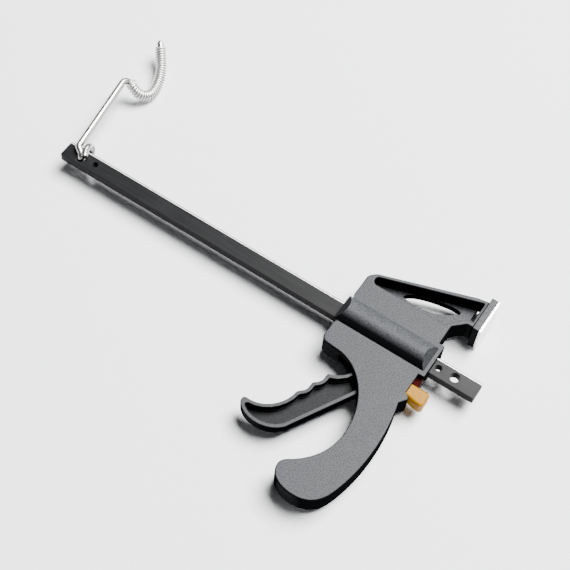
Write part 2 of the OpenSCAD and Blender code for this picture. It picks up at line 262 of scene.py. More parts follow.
def finish_piece(piece, body, material, replaces, crease=PLATE_CREASE):
    """Scales a piece to metres, smooths it, and puts it on its body in place of its CAD nodes."""
    bm = bmesh.new()
    bm.from_mesh(piece.data)
    bmesh.ops.remove_doubles(bm, verts=bm.verts, dist=WELD)
    bmesh.ops.dissolve_degenerate(bm, dist=SLIVER, edges=bm.edges)
    bmesh.ops.scale(bm, vec=(MM, MM, MM), verts=bm.verts)
    bm.to_mesh(piece.data)
    bm.free()
    piece.data.validate()
    for polygon in piece.data.polygons:
        polygon.use_smooth = True
        polygon.material_index = 0
    piece.data.set_sharp_from_angle(angle=math.radians(crease))
    weighted = piece.modifiers.new("weighted normals", "WEIGHTED_NORMAL")
    weighted.keep_sharp = True
    weighted.weight = 90
    piece.data.materials.clear()
    piece.data.materials.append(material)
    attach(piece, body)
    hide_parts(*replaces)


def sweep(name, path, radii, sides):
    """A round rod along a path, its cross-section carried without twist. radii is a number or a list."""
    bm = bmesh.new()
    rings = []
    normal = Vector((0.2, 0.1, 1))     # any direction that no path here starts out in
    last = len(path) - 1
    for i, point in enumerate(path):
        heading = (path[min(i + 1, last)] - path[max(i - 1, 0)]).normalized()
        normal = (normal - normal.dot(heading) * heading).normalized()
        across = heading.cross(normal)
        r = radii[i] if isinstance(radii, list) else radii
        angles = [2 * math.pi * k / sides for k in range(sides)]
        rings.append([bm.verts.new(point + r * (math.cos(a) * normal + math.sin(a) * across))
                      for a in angles])
    join_rings(bm, rings)
    bm.faces.new(rings[0])
    bm.faces.new(rings[-1])
    return piece_from(bm, name)


bar_low, bar_high = box_mm("bar")
bar_half = bar_high.y
bar_top = bar_high.z


# ---------------------------------------------------------------------------
# Materials
# ---------------------------------------------------------------------------

class Graph:
    """A short way to write a material's nodes. Scales are in features to the metre."""

    names = {"color": "Base Color", "metallic": "Metallic", "roughness": "Roughness", "normal": "Normal",
             "specular": "Specular IOR Level"}

    def __init__(self, name):
        self.material = bpy.data.materials.new(name)
        self.material.use_nodes = True
        self.tree = self.material.node_tree
        self.shader = self.tree.nodes["Principled BSDF"]

    def node(self, kind, inputs=None, **settings):
        made = self.tree.nodes.new(kind)
        for key, value in settings.items():
            setattr(made, key, value)
        for key, value in (inputs or {}).items():
            self.put(made.inputs[key], value)
        return made

    def put(self, socket, value):
        if isinstance(value, bpy.types.NodeSocket):
            self.tree.links.new(value, socket)
        else:
            socket.default_value = value

    def place(self, scale=(1, 1, 1)):
        """Object coordinates, stretched."""
        coordinates = self.node("ShaderNodeTexCoord").outputs["Object"]
        mapping = self.node("ShaderNodeMapping", {"Vector": coordinates, "Scale": scale})
        return mapping.outputs["Vector"]

    def noise(self, vector, scale, detail, roughness=0.55):
        made = self.node("ShaderNodeTexNoise", {"Vector": vector, "Scale": scale, "Detail": detail,
                                                "Roughness": roughness})
        return made.outputs["Fac"]

    def level_faces(self, start, full, lean=(0, 0)):
        """0 on upright faces, 1 on faces that lie level in the piece's own frame.

        lean tips what counts as level by X and Y.
        """
        facing = self.node("ShaderNodeTexCoord").outputs["Normal"]
        towards = Vector((*lean, 1)).normalized()
        upward = self.node("ShaderNodeVectorMath", operation="DOT_PRODUCT")
        self.put(upward.inputs[0], facing)
        self.put(upward.inputs[1], towards)
        return self.span(self.math("ABSOLUTE", upward.outputs["Value"], 0), 0, 1, start, full)

    def span(self, value, low, high, from_low=0.3, from_high=0.7):
        """low to high, as value goes between the other two, and no further."""
        made = self.node("ShaderNodeMapRange", {"Value": value, "From Min": from_low,
                                                "From Max": from_high, "To Min": low, "To Max": high})
        return made.outputs["Result"]

    def mix(self, factor, a, b):
        made = self.node("ShaderNodeMix", data_type="RGBA")
        self.put(made.inputs[0], factor)
        self.put(made.inputs[6], (*a, 1) if isinstance(a, tuple) else a)
        self.put(made.inputs[7], (*b, 1) if isinstance(b, tuple) else b)
        return made.outputs[2]

    def math(self, operation, a, b):
        made = self.node("ShaderNodeMath", operation=operation)
        self.put(made.inputs[0], a)
        self.put(made.inputs[1], b)
        return made.outputs[0]

    def bump(self, height, strength, distance, normal=None):
        made = self.node("ShaderNodeBump", {"Height": height, "Strength": strength, "Distance": distance})
        if normal is not None:
            self.put(made.inputs["Normal"], normal)
        return made.outputs["Normal"]

    def finish(self, **values):
        for key, value in values.items():
            self.put(self.shader.inputs[self.names[key]], value)
        return self.material


def scaled(tone, k):
    return tuple(min(1, k * c) for c in tone)


def textured_plastic(name, shaded_wall_tone, dark, light, rough, grain, seed, painted_shade_below=None):
    """Moulded plastic with a spark-eroded grain. As painted light and shade, level faces are painted
    paler than the walls, which are painted near black, and faces tipped towards -Y are painted darker
    than faces tipped towards +Y.

    grain makes the texture finer, and seed moves it. The last argument is a height in millimetres: level
    faces below it, down in a recess, get painted shade, darker and duller, with scratches.
    """
    g = Graph(name)
    place = g.place()
    shifted = g.node("ShaderNodeMapping", {"Vector": place,
                                           "Location": (seed, 2 * seed, -seed)}).outputs["Vector"]
    pebble = g.node("ShaderNodeTexVoronoi", {"Vector": shifted, "Scale": 2600.0 * grain},
                    feature="SMOOTH_F1").outputs["Distance"]
    fine = g.noise(shifted, 2000.0 * grain, 4.0, 0.75)
    broad = g.noise(shifted, 60.0, 3.0)
    rubbed = g.noise(shifted, 240.0, 5.0, 0.7)
    shade = g.mix(g.span(fine, 0, 1, 0.43, 0.57), dark, light)
    dust = g.math("MULTIPLY", g.span(rubbed, 0, 0.5, 0.56, 0.72), g.span(broad, 0, 1))
    shade = g.mix(dust, shade, scaled(light, 1.3))
    # painted light and shade: level faces get the paler grained tone and a sheen, upright walls the
    # near-black wall tone; the lean paints faces tipped towards -Y darker
    level = g.level_faces(0.48, 0.85, (0.1, 0.6))
    shine = g.span(level, 0, 0.2, 0, 1)
    # painted shade: level faces below the given height, down in a recess, are painted darker and duller,
    # with scratches
    if painted_shade_below is not None:
        height = g.node("ShaderNodeSeparateXYZ", {"Vector": place}).outputs["Z"]
        high = g.span(height, 0, 1, (painted_shade_below - 0.2) * MM, (painted_shade_below + 0.2) * MM)
        scratches = g.noise(g.place((1, 0.5, 1)), 1300.0, 6.0, 0.8)
        recess_shade = g.mix(g.span(scratches, 0, 1, 0.34, 0.68), scaled(dark, 0.25), scaled(light, 0.42))
        shade = g.mix(high, recess_shade, shade)
        shine = g.math("MULTIPLY", shine, g.span(high, 0.45, 1, 0, 1))
    roughness = g.math("ADD", g.span(rubbed, rough - 0.05, rough + 0.05), g.span(fine, -0.05, 0.05))
    roughness = g.math("ADD", roughness, g.span(level, 0.2, 0, 0, 1))
    grained = g.bump(pebble, 0.5, 0.00007 / grain)
    return g.finish(color=g.mix(level, shaded_wall_tone, shade), roughness=roughness, specular=shine,
                    normal=g.bump(fine, 0.5, 0.00006 / grain, grained))


def orange_plastic(name):
    """Bright moulded plastic, worn a little under the thumb, with dark red painted shade on the web where
    it enters the body.
    """
    g = Graph(name)
    place = g.place()
    broad = g.noise(place, 90.0, 3.0)
    fine = g.noise(place, 2600.0, 4.0)
    wear_and_highlight = g.noise(place, 420.0, 5.0, 0.7)
    colour = g.mix(g.span(broad, 0, 1), (0.25, 0.105, 0.0003), (0.33, 0.165, 0.0005))
    colour = g.mix(g.span(wear_and_highlight, 0, 0.4, 0.55, 0.75), colour, (0.44, 0.28, 0.002))
    # painted shade: from just inside the collar towards the jaw, the web is painted dark red and loses
    # its sheen
    towards_jaw = g.node("ShaderNodeSeparateXYZ", {"Vector": place}).outputs["Y"]
    bright_to, painted_shade_from = -12.9 * MM, -12.2 * MM
    colour = g.mix(g.span(towards_jaw, 0, 1, bright_to, painted_shade_from), colour, (0.022, 0.001, 0.0007))
    return g.finish(color=colour, roughness=g.span(wear_and_highlight, 0.36, 0.5), normal=g.bump(fine, 0.3, 0.00005),
                    specular=g.span(towards_jaw, 0.12, 0.01, bright_to, painted_shade_from))


def brushed_steel(name, dark, light, rough, along, strength, specks=0.0):
    """Drawn or ground steel. along stretches the grain: small numbers lie along the grain."""
    g = Graph(name)
    place = g.place(along)
    grain = g.noise(place, 1800.0, 5.0, 0.65)
    streak = g.noise(place, 520.0, 3.0)
    cloud = g.noise(g.place(), 70.0, 4.0, 0.6)
    lines = g.math("MULTIPLY", g.math("ADD", grain, streak), 0.5)
    colour = g.mix(g.span(lines, 0, 1, 0.38, 0.62), dark, light)
    colour = g.mix(g.span(cloud, 0, 0.5, 0.5, 0.75), colour, scaled(dark, 0.72))
    if specks:
        spots = g.noise(g.place(), 900.0, 2.0)
        colour = g.mix(g.span(spots, 0, specks, 0.66, 0.74), colour, scaled(light, 2.2))
    roughness = g.math("ADD", g.span(streak, rough - 0.06, rough + 0.06), g.span(cloud, -0.05, 0.06))
    return g.finish(color=colour, metallic=1.0, roughness=roughness,
                    normal=g.bump(grain, strength, 0.00003))


def blackened_bar(name):
    """Black-finished drawn bar: satin, with faint lengthwise lines and a painted highlight along its jaw
    edge.
    """
    g = Graph(name)
    grain = g.noise(g.place((0.03, 1, 1)), 1500.0, 4.0, 0.6)
    cloud = g.noise(g.place(), 80.0, 4.0, 0.6)
    nicks = g.noise(g.place(), 700.0, 3.0, 0.7)
    across_bar = g.node("ShaderNodeSeparateXYZ", {"Vector": g.place()}).outputs["Y"]
    level = g.level_faces(0.3, 0.6)
    # painted highlight: a bright metallic band on level faces just inside the bar's edge on the jaw side,
    # broken up by the nick noise
    band_from, band_to = (bar_half - 0.85) * MM, (bar_half - 0.38) * MM
    band = g.math("MULTIPLY", g.math("GREATER_THAN", across_bar, band_from),
                  g.math("LESS_THAN", across_bar, band_to))
    wear_and_highlight = g.math("MULTIPLY", band, g.math("MULTIPLY", g.span(nicks, 0.6, 1, 0.3, 0.55), level))
    face = g.mix(g.span(grain, 0, 1), (0.0045, 0.0047, 0.005), (0.010, 0.0103, 0.0112))
    face = g.mix(g.span(nicks, 0, 0.8, 0.70, 0.76), face, (0.06, 0.06, 0.062))
    roughness = g.math("ADD", g.span(cloud, 0.35, 0.43), g.span(grain, -0.03, 0.04))
    return g.finish(color=g.mix(wear_and_highlight, face, (0.75, 0.75, 0.76)), metallic=g.span(wear_and_highlight, 0, 0.35, 0, 1),
                    roughness=roughness, normal=g.bump(grain, 0.2, 0.00003),
                    specular=g.span(level, 0.03, 0.11, 0, 1))


def plated_wire(name, tint, rough, grain=1500.0, shaded_flank=-0.3):
    """Nickel-plated drawn wire: bright, with fine die lines, small dull patches and painted shade on its
    upright flanks.

    The last argument is how far round the wire the painted shade reaches: -0.3 leaves it off, 1 would
    cover the wire.
    """
    g = Graph(name)
    place = g.place()
    fine = g.noise(place, grain, 5.0, 0.7)
    dull = g.noise(place, 260.0, 4.0, 0.6)
    colour = g.mix(g.span(dull, 0, 1, 0.4, 0.72), tint, scaled(tint, 0.8))
    # painted shade: faces that stand upright in the piece's own frame are painted darker, as the wire's
    # unlit flanks
    colour = g.mix(g.level_faces(shaded_flank, shaded_flank + 0.25), scaled(tint, 0.3), colour)
    roughness = g.math("ADD", g.span(dull, rough - 0.05, rough + 0.1), g.span(fine, -0.03, 0.05))
    return g.finish(color=colour, metallic=1.0, roughness=roughness, normal=g.bump(fine, 0.25, 0.00003))


def pale_floor(name):
    """A plain pale surface."""
    g = Graph(name)
    fine = g.noise(g.place(), 900.0, 4.0, 0.6)
    colour = g.mix(g.span(fine, 0, 1), (0.80, 0.815, 0.83), (0.86, 0.87, 0.885))
    return g.finish(color=colour, roughness=0.9, normal=g.bump(fine, 0.2, 0.0002), specular=0.2)


trigger_half = box_mm("trigger")[1].z
# painted shade: the near-black tone painted on upright walls
painted_wall_shade = (0.0025, 0.0027, 0.0030)
soft_black = (0.020, 0.021, 0.023)
shell_plastic = textured_plastic("shell_plastic", painted_wall_shade, (0.017, 0.018, 0.020),
                                 (0.057, 0.060, 0.066), rough=0.55, grain=1.0, seed=0.11)
lower_plastic = textured_plastic("lower_shell_plastic", painted_wall_shade, (0.016, 0.017, 0.019),
                                 (0.053, 0.056, 0.062), rough=0.56, grain=1.0, seed=0.37)
trigger_plastic = textured_plastic("trigger_plastic", painted_wall_shade, soft_black, (0.040, 0.042, 0.046),
                                   rough=0.50, grain=1.2, seed=0.71, painted_shade_below=trigger_half - 1)
pad_plastic = textured_plastic("pad_plastic", painted_wall_shade, soft_black, (0.058, 0.060, 0.065),
                               rough=0.52, grain=1.1, seed=0.53)
cap_plastic = orange_plastic("cap_plastic")
bar_steel = blackened_bar("bar_steel")
face_steel = brushed_steel("face_steel", (0.62, 0.62, 0.61), (0.86, 0.86, 0.85),
                           rough=0.26, along=(1, 0.05, 1), strength=0.35)
screw_steel = plated_wire("screw_steel", (0.90, 0.90, 0.89), rough=0.38)
pin_steel = brushed_steel("pin_steel", (0.45, 0.46, 0.47), (0.62, 0.63, 0.65),
                          rough=0.28, along=(1, 1, 0.05), strength=0.3)
lever_steel = brushed_steel("lever_steel", (0.22, 0.225, 0.24), (0.36, 0.37, 0.385),
                            rough=0.4, along=(1, 0.05, 1), strength=0.4, specks=0.2)
spring_steel = plated_wire("spring_steel", (0.52, 0.53, 0.55), rough=0.3)
hook_nickel = plated_wire("hook_nickel", (0.62, 0.62, 0.60), rough=0.27, shaded_flank=0.22)
sleeve_nickel = plated_wire("sleeve_nickel", (0.86, 0.86, 0.84), rough=0.38, grain=2300.0, shaded_flank=0.12)


# ---------------------------------------------------------------------------
# Bar
# ---------------------------------------------------------------------------

bore_pitch = 7.4
hook_x = bar_low.x + 8.2
large_bore_r, small_bore_r, hook_bore_r = 2.0, 1.3, 2.5


def build_bar():
    outline = soften([(bar_low.x, -bar_half), (bar_high.x, -bar_half), (bar_high.x, bar_half),
                      (bar_low.x, bar_half)], 0.5)
    bores = [circle((x, 0), r) for x, r in ((0, large_bore_r), (-bore_pitch, small_bore_r),
                                            (hook_x + bore_pitch, small_bore_r), (hook_x, hook_bore_r))]
    piece = slab("steel_bar", outline, -bar_top, bar_top, r_low=0.22, r_high=0.22, holes=bores)
    finish_piece(piece, "bar", bar_steel, ["bar"])


# ---------------------------------------------------------------------------
# Body shells
# ---------------------------------------------------------------------------

shell_low, shell_high = box_mm("front_shell")
body_x0, body_x1 = shell_low.x, -9.7      # ends of the housing over the bar
side_x0, side_x1 = -52.0, -12.2           # ends of the flat body
housing_r = shell_high.z
flat_z = 5.0
web_z = 1.3                               # how far the arm's web lies below the parting
parting = 0.035                           # half the fine line between the shells
inside = -1                               # where a cut from the parting side starts
collar_t, collar_h = 1.5, 8.2
passage_y, passage_z = 4.15, 2.15         # the bar's half sizes and its play

wall = 1.7
room_floor = flat_z - 1.6
room_x0, room_x1, room_r = body_x0 + 4.5, body_x1 - 4.7, housing_r - 1.5
lever_x, stop_t = -28.45, 1.8             # the stop that the drive lever leans on

pivot, pivot_bore_r, pivot_boss_r = Vector((-27, -15.5)), 1.53, 3
brake_pivot, brake_bore_r = Vector((-17.4, 7.7)), 0.83
pin_depth = 4.2

screw_spots = [(-45.6, -12.2), (-16.6, -26.5), (-16.4, -49), (-27.5, -71), (-45, 13.6), (-17.6, 13.6)]
bossed_screws = 4                         # the first few stand in the room, on bosses
boss_r, thread_r, thread_depth = 2.7, 1.13, 3.4
counterbore_r, counterbore_depth = 2.25, 1.8
pad_screw_y = 31.4


def grip(bump, corner):
    """Outline of the grip from the body's right wall round the lobe to its left wall."""
    return (bump
            + bezier((-12.3, -23.6), (-8.4, -38), (-8.8, -56), (-13.6, -69.3), 34)
            + bezier((-14.1, -70.6), (-16.8, -76.2), (-21, -77.9), (-26, -77.9), 16)
            + bezier((-26.8, -77.9), (-32, -77.7), (-36.9, -75.2), (-36.9, -70.4), 16)
            + bezier((-36.88, -69.8), (-36.5, -68.2), (-35.4, -67.2), (-34, -66.3), 7)
            + bezier((-33.5, -66), (-27.6, -61.6), (-22.9, -55), (-22.8, -46.5), 22)
            + bezier((-22.8, -45.6), (-22.8, -39.6), (-24.3, -34.5), (-26.6, -30.2), 16)
            + bezier((-26.9, -29.6), (-30, -24.2), (-35.5, -18.2), (-43.5, -17.4), 22)
            + corner)


def body_outline():
    arm = [(side_x0, 18.2), (-51.4, 19.4), (-49.8, 21.1), (-48.6, 21.8), (-9.8, 35.3), (-4.7, 36.3),
           (-4.7, 22), (-7.4, 22), (-12.1, 17.4), (side_x1, 15.5)]
    bump = [(side_x1, -17.9)] + arc((-11.6, -20.1), 1.5, 60, -50, 9)
    corner_r = 2.8
    corner = arc((side_x0 + corner_r, -14.2), corner_r, 270, 180, 12)
    return soften(arm + grip(bump, corner), 0.7)


window = soften(arc((-46.7, 18.7), 1.85, 270, 108, 14)
                + [(-6.1, 34.3), (-6.1, 24.1), (-8.6, 23.9), (-15.2, 16.8)], 0.5)
eye = (bezier((-36.4, 21.6), (-35.4, 26.2), (-22, 28.7), (-17.6, 29.2), 22)
       + bezier((-17, 29.25), (-14.2, 29.5), (-12.4, 29), (-12.8, 28), 8)
       + bezier((-13, 27.6), (-18, 23.4), (-22.5, 21), (-32, 20.9), 18))
eye = soften(eye, 0.5)


def bulge():
    """Round housing over the bar, cut back at 45 degrees at both ends."""
    bm = bmesh.new()
    left, right, foot = body_x0 + collar_t, body_x1 - collar_t, 3.0
    widest = math.acos(flat_z / housing_r)
    steps = 40
    rows = []
    for k in range(steps + 1):
        a = -widest + 2 * widest * k / steps
        y, z = housing_r * math.sin(a), housing_r * math.cos(a)
        cut = z - flat_z
        rows.append((bm.verts.new((left + cut, y, z)), bm.verts.new((right - cut, y, z))))
    feet = [(bm.verts.new((left, row[0].co.y, foot)), bm.verts.new((right, row[0].co.y, foot)))
            for row in (rows[0], rows[-1])]
    for a, b in zip(rows, rows[1:]):
        bm.faces.new((a[0], a[1], b[1], b[0]))
    for side in (0, 1):
        bm.faces.new([row[side] for row in rows])
        bm.faces.new((rows[0][side], rows[-1][side], feet[1][side], feet[0][side]))
    bm.faces.new((feet[0][0], feet[0][1], feet[1][1], feet[1][0]))
    for row, base in ((rows[0], feet[0]), (rows[-1], feet[1])):
        bm.faces.new((row[0], row[1], base[1], base[0]))
    rims = [bm.edges.get((a[side], b[side])) for a, b in zip(rows, rows[1:]) for side in (0, 1)]
    round_edges(bm, rims, 0.35)
    return piece_from(bm, "bulge")


def collars():
    """The square rims round the bar at both ends of the housing. They run 2 mm in under the bulge."""
    spans = ((body_x0, body_x0 + collar_t + 2), (body_x1 - collar_t - 2, body_x1))
    return [block("collar", (a, -collar_h, 0.06), (b, collar_h, flat_z), 0.3) for a, b in spans]


def lever_room():
    """The round room along the bar that the levers and springs lie in. It is notched for the stop."""
    bores = [rod("bore", (room_x0, 0, 0), (lever_x, 0, 0), room_r),
             rod("bore", (lever_x + stop_t, 0, 0), (room_x1, 0, 0), room_r),
             rod("bore", (lever_x - 0.2, 0, 0), (lever_x + stop_t + 0.2, 0, 0), room_r)]
    combine(bores[-1], [block("keep", (lever_x - 1, -4.6, -9), (lever_x + 3, 9, 9))], "DIFFERENCE")
    return bores


def shell_cutters():
    """Everything taken out of a shell from inside, for z above 0."""
    room_outline = offset([(side_x0, 11.5), (side_x1, 11.5)] + grip([], [(side_x0, -16.6)]), wall)
    stop = [(lever_x, 4.6), (lever_x + stop_t, 4.6), (lever_x + stop_t, 9.2), (lever_x, 9.2)]
    left_standing = [circle(spot, boss_r, 32) for spot in screw_spots[:bossed_screws]]
    left_standing += [stop, circle(pivot, pivot_boss_r, 32)]
    room = slab("room", room_outline, inside, room_floor, 0, 0, holes=left_standing)
    above_boss = prism(circle(pivot, pivot_boss_r + 0.1, 32), inside, trigger_half + 0.15)
    passage = block("passage", (body_x0 - 3, -passage_y, -passage_z), (body_x1 + 3, passage_y, passage_z))
    trigger_gap = prism([(-43, -14), (-43, -22), (-34, -40.5), (-22, -40.5), (-20, -34), (-20, -14)],
                        inside, trigger_half + 0.35)
    cap_gap = block("gap", (side_x1 - 3, -19.5, inside), (side_x1 + 3, -7.2, 3.6))
    collar_gap = block("gap", (body_x1 - 5, -9.2, inside), (body_x1 + 3, -5.2, 2.9))
    pins = [rod("pin", (*spot, inside), (*spot, pin_depth), r)
            for spot, r in ((pivot, pivot_bore_r), (brake_pivot, brake_bore_r))]
    pad_hole = rod("pad_hole", (-7.6, pad_screw_y, 0), (-2.6, pad_screw_y, 0), 1.05)
    return [room, above_boss, *lever_room(), passage, trigger_gap, cap_gap, collar_gap, *pins, pad_hole]


def half_shell(name, openings):
    """A shell's outside, with the parting at z = 0."""
    shell = slab(name, body_outline(), parting, flat_z, r_low=0.12, r_high=0.55, holes=openings)
    combine(shell, [bulge(), *collars()], "UNION")
    return shell


def screw_holes(low, high, r, sides):
    return [rod("hole", (*spot, low), (*spot, high), r, sides) for spot in screw_spots]


def build_shells():
    upper = half_shell("upper_shell", [window])
    threads = screw_holes(inside, thread_depth, thread_r, 24)
    combine(upper, shell_cutters() + threads, "DIFFERENCE")
    finish_piece(upper, "housing", shell_plastic, ["front_shell"])

    # built the same way up as the upper shell, then turned over by mirroring
    lower = half_shell("lower_shell", [eye])
    arm_room = prism(window, inside, web_z)
    through = screw_holes(inside, flat_z + 1, thread_r, 24)
    counterbores = screw_holes(flat_z - counterbore_depth, flat_z + 1, counterbore_r, 32)
    screw_gap = block("gap", (-8.1, pad_screw_y - 3.4, inside), (-6.1, pad_screw_y + 2.2, 3.6))
    combine(lower, shell_cutters() + [arm_room, screw_gap] + through + counterbores, "DIFFERENCE")
    lower.data.transform(Matrix.Diagonal((1, 1, -1, 1)))
    lower.data.flip_normals()
    finish_piece(lower, "housing", lower_plastic, ["back_shell"])


# ---------------------------------------------------------------------------
# Jaw pad
# ---------------------------------------------------------------------------

def build_pad():
    """The pad's block, and its steel face with a tongue let into a seat in the block."""
    low, high = box_mm("jaw_pad")
    plate_low, plate_high = box_mm("pad_face_plate")
    seat_rim, tongue_rim = 1.0, 1.1
    pad = block("jaw_pad_block", low, high, 0.35)
    seat = block("seat", (high.x - 0.5, low.y + seat_rim, low.z + seat_rim),
                 (high.x + 1, high.y - seat_rim, high.z - seat_rim))
    hole = rod("hole", (low.x - 1, pad_screw_y, 0), (high.x - 0.8, pad_screw_y, 0), 1.03)
    combine(pad, [seat, hole], "DIFFERENCE")
    finish_piece(pad, "housing", pad_plastic, ["jaw_pad"])
    plate = block("pad_steel_face", (high.x, plate_low.y, plate_low.z), plate_high, 0.16)
    tongue = block("tongue", (plate_low.x, low.y + tongue_rim, low.z + tongue_rim),
                   (high.x + 0.2, high.y - tongue_rim, high.z - tongue_rim))
    combine(plate, [tongue], "UNION")
    finish_piece(plate, "housing", face_steel, ["pad_face_plate"])


def build_pad_screw():
    low, high = box_mm("pad_screw")
    head_end = low.x + 1.28
    head = rod("pad_pan_screw", (low.x, pad_screw_y, 0), (head_end, pad_screw_y, 0), high.y - pad_screw_y,
               sides=40, ease=0.3)
    shank = rod("shank", (head_end - 0.1, pad_screw_y, 0), (high.x, pad_screw_y, 0), 0.99,
                sides=32, ease=0.15)
    combine(head, [shank], "UNION")
    slot_half, slot_reach, slot_depth = 0.24, 0.85, 0.55
    cross = [block("slot", (low.x - 0.5, pad_screw_y - a, -b), (low.x + slot_depth, pad_screw_y + a, b))
             for a, b in ((slot_half, slot_reach), (slot_reach, slot_half))]
    combine(head, cross, "DIFFERENCE")
    finish_piece(head, "housing", screw_steel, ["pad_screw"])


# ---------------------------------------------------------------------------
# Trigger
# ---------------------------------------------------------------------------

hub_r = 4.0
nose, nose_r = Vector((-26.7, -7.8)), 1.7
rim, tray_depth = 1.5, 3.1
tray_floor = trigger_half - tray_depth
groove_pitch, groove_depth = 7.15, 1.1
mark_spots = [(-34.3, -27.9), (-52.6, -55)]


def groove_point(s):
    """A point on the row of finger grooves, s millimetres along it."""
    out = Vector((-0.913, 0.408))
    along_row = Vector((-0.408, -0.913))
    depth = groove_depth * abs(math.sin(math.pi * s / groove_pitch)) ** 1.4
    return tuple(Vector((-41.9, -27.2)) + s * along_row - depth * out)


def blade(hub, tip, brow, steps):
    """Outline of the trigger from its hub down the back, round the tip and up the finger grooves."""
    grooves = [groove_point(2 * groove_pitch * i / (2 * steps)) for i in range(2 * steps - 1, -1, -1)]
    past_grooves = groove_point(2 * groove_pitch + 0.5)
    return (hub + [(-23.2, -18.4), (-28.7, -29.4), (-42.2, -53.8)]
            + bezier((-43, -55.4), (-49, -62.8), (-61, -61.5), (-63.6, -55.8), steps) + tip
            + bezier((-61.2, -53.5), (-54, -53.5), (-48.4, -47), past_grooves, steps)
            + grooves + brow)


def trigger_neck():
    """The arm from the trigger's hub up to the nose that pushes the drive lever."""
    left = [tuple(pivot + Vector(p)) for p in ((-3.2, 1), (-1.2, 3.8))]
    right = tuple(pivot + Vector((3.6, 1)))
    outline = left + [(nose.x - nose_r, nose.y), (nose.x + nose_r, nose.y), right]
    return [prism(outline, -trigger_half, trigger_half),
            prism(circle(nose, nose_r, 32), -trigger_half, trigger_half)]


def trigger_tray():
    """What is taken out of the trigger's face. It stays clear of the part inside the body."""
    coarse_hub = [tuple(pivot + hub_r * Vector(p)) for p in ((-0.8, 0.6), (0.55, 0.83), (1, 0))]
    outline = blade(coarse_hub, [], [(-38.4, -25.6), (-35.9, -23.3)], 7)
    outline = soften(offset(outline, rim), 0.9, sharp=8)
    reach = prism([(-70, -70), (-70, -10), (-36, -14), (-32.8, -20.4), (-28.6, -22.8), (-22, -25),
                   (-22, -70)], tray_floor, trigger_half + 1)
    tray = slab("pocket", outline, tray_floor, trigger_half + 1, r_low=0.25, r_high=0)
    combine(tray, [reach], "INTERSECT")
    return tray


def build_trigger():
    brow = bezier((-41.5, -26.9), (-39.6, -26.5), (-37.6, -24.9), (-35.9, -23.3), 10)
    brow += arc(pivot, hub_r, 190, 130, 6)
    outline = blade(arc(pivot, hub_r, 56, -46, 14), arc((-62.2, -55), 1.5, 190, 85, 8), brow, 20)
    piece = slab("trigger_lever", outline, -trigger_half, trigger_half, r_low=0.4, r_high=0.4)
    combine(piece, trigger_neck(), "UNION")
    pin_bore = rod("pin", (*pivot, -9), (*pivot, 9), pivot_bore_r)
    combine(piece, [trigger_tray(), pin_bore], "DIFFERENCE")
    marks = [rod("mark", (*spot, tray_floor - 0.1), (*spot, tray_floor + 0.7), 1.6, sides=40, ease=0.15)
             for spot in mark_spots]
    combine(piece, marks, "UNION")
    dents = [rod("dent", (*spot, tray_floor - 0.2), (*spot, trigger_half), 1.05, sides=40)
             for spot in mark_spots]
    combine(piece, dents, "DIFFERENCE")
    finish_piece(piece, "trigger", trigger_plastic, ["trigger"])


# ---------------------------------------------------------------------------
# Release cap
# ---------------------------------------------------------------------------

brake_tilt = 3.0
lever_t, lever_half, lever_reach = 2.4, 2.4, 24.1
seat_play = 0.02


def build_cap():
    """The thumb cap clipped over the brake lever's end: a crowned head and a thin web above it."""
    low, high = box_mm("release_cap")
    head_outline = [(-18.4, -17.4), (-18.4, -10.6), (-12.6, -12.3), (-8.1, -12.2), (-5.0, -12.0),
                    (-4.1, -13.0), (-4.0, -18.0), (-5.1, -19.08), (-7.4, -18.9), (-10.6, -18.1)]
    web_outline = [(-13.4, -12.6), (-13.4, -5.4), (-10.4, -5.4), (-9.6, -12.6)]
    head = slab("release_thumb_cap", soften(head_outline, 1.0), low.z + 0.15, high.z - 0.15,
                r_low=1.1, r_high=1.1)
    web = slab("web", soften(web_outline, 0.5), -2.2, 2.2, r_low=0.25, r_high=0.25)
    combine(head, [web], "UNION")
    seat_x, seat_z = lever_t / 2 + seat_play, lever_half + seat_play
    seat = block("seat", (-seat_x, -lever_reach - seat_play, -seat_z), (seat_x, 5, seat_z))
    seat.data.transform(Matrix.Translation((brake_pivot.x, brake_pivot.y, 0))
                        @ Matrix.Rotation(math.radians(brake_tilt), 4, "Z"))
    combine(head, [seat], "DIFFERENCE")
    finish_piece(head, "brake", cap_plastic, ["release_cap"])


# ---------------------------------------------------------------------------
# Wire hook and its sleeve
# ---------------------------------------------------------------------------

wire_r = 1.5
sleeve_r = 2.5
eye_r, eye_y = 3.9, 3.1
shank_side, shank_len = -3.4, 38.5
shank_lean, hook_tilt = math.radians(8.7), math.radians(41.1)
crossing = 48.0                           # degrees of the eye over which its wire crosses to the shank
neck_r, neck_turn = 3.0, 120.0
bowl_r = 6.5
lip_r, lip_turn, lip_len = 25.0, 37.0, 8.4
layout_steps = 24
sleeve_start = 16                         # the step of the layout at which the sleeve begins

hook_along = Vector((-math.sin(shank_lean), math.cos(shank_lean), 0))
hook_across = Vector((math.cos(hook_tilt) * math.cos(shank_lean),
                      math.cos(hook_tilt) * math.sin(shank_lean), -math.sin(hook_tilt)))
shank_from = Vector((hook_x + shank_side, eye_y, eye_r))


def eye_side(a):
    """How far the eye's wire lies to the side of the bore's middle, a degrees round the eye."""
    if a < crossing:
        return shank_side * (1 + math.cos(math.pi * a / crossing)) / 2
    return max(0.0, 0.3 * (a - 300) / 60)


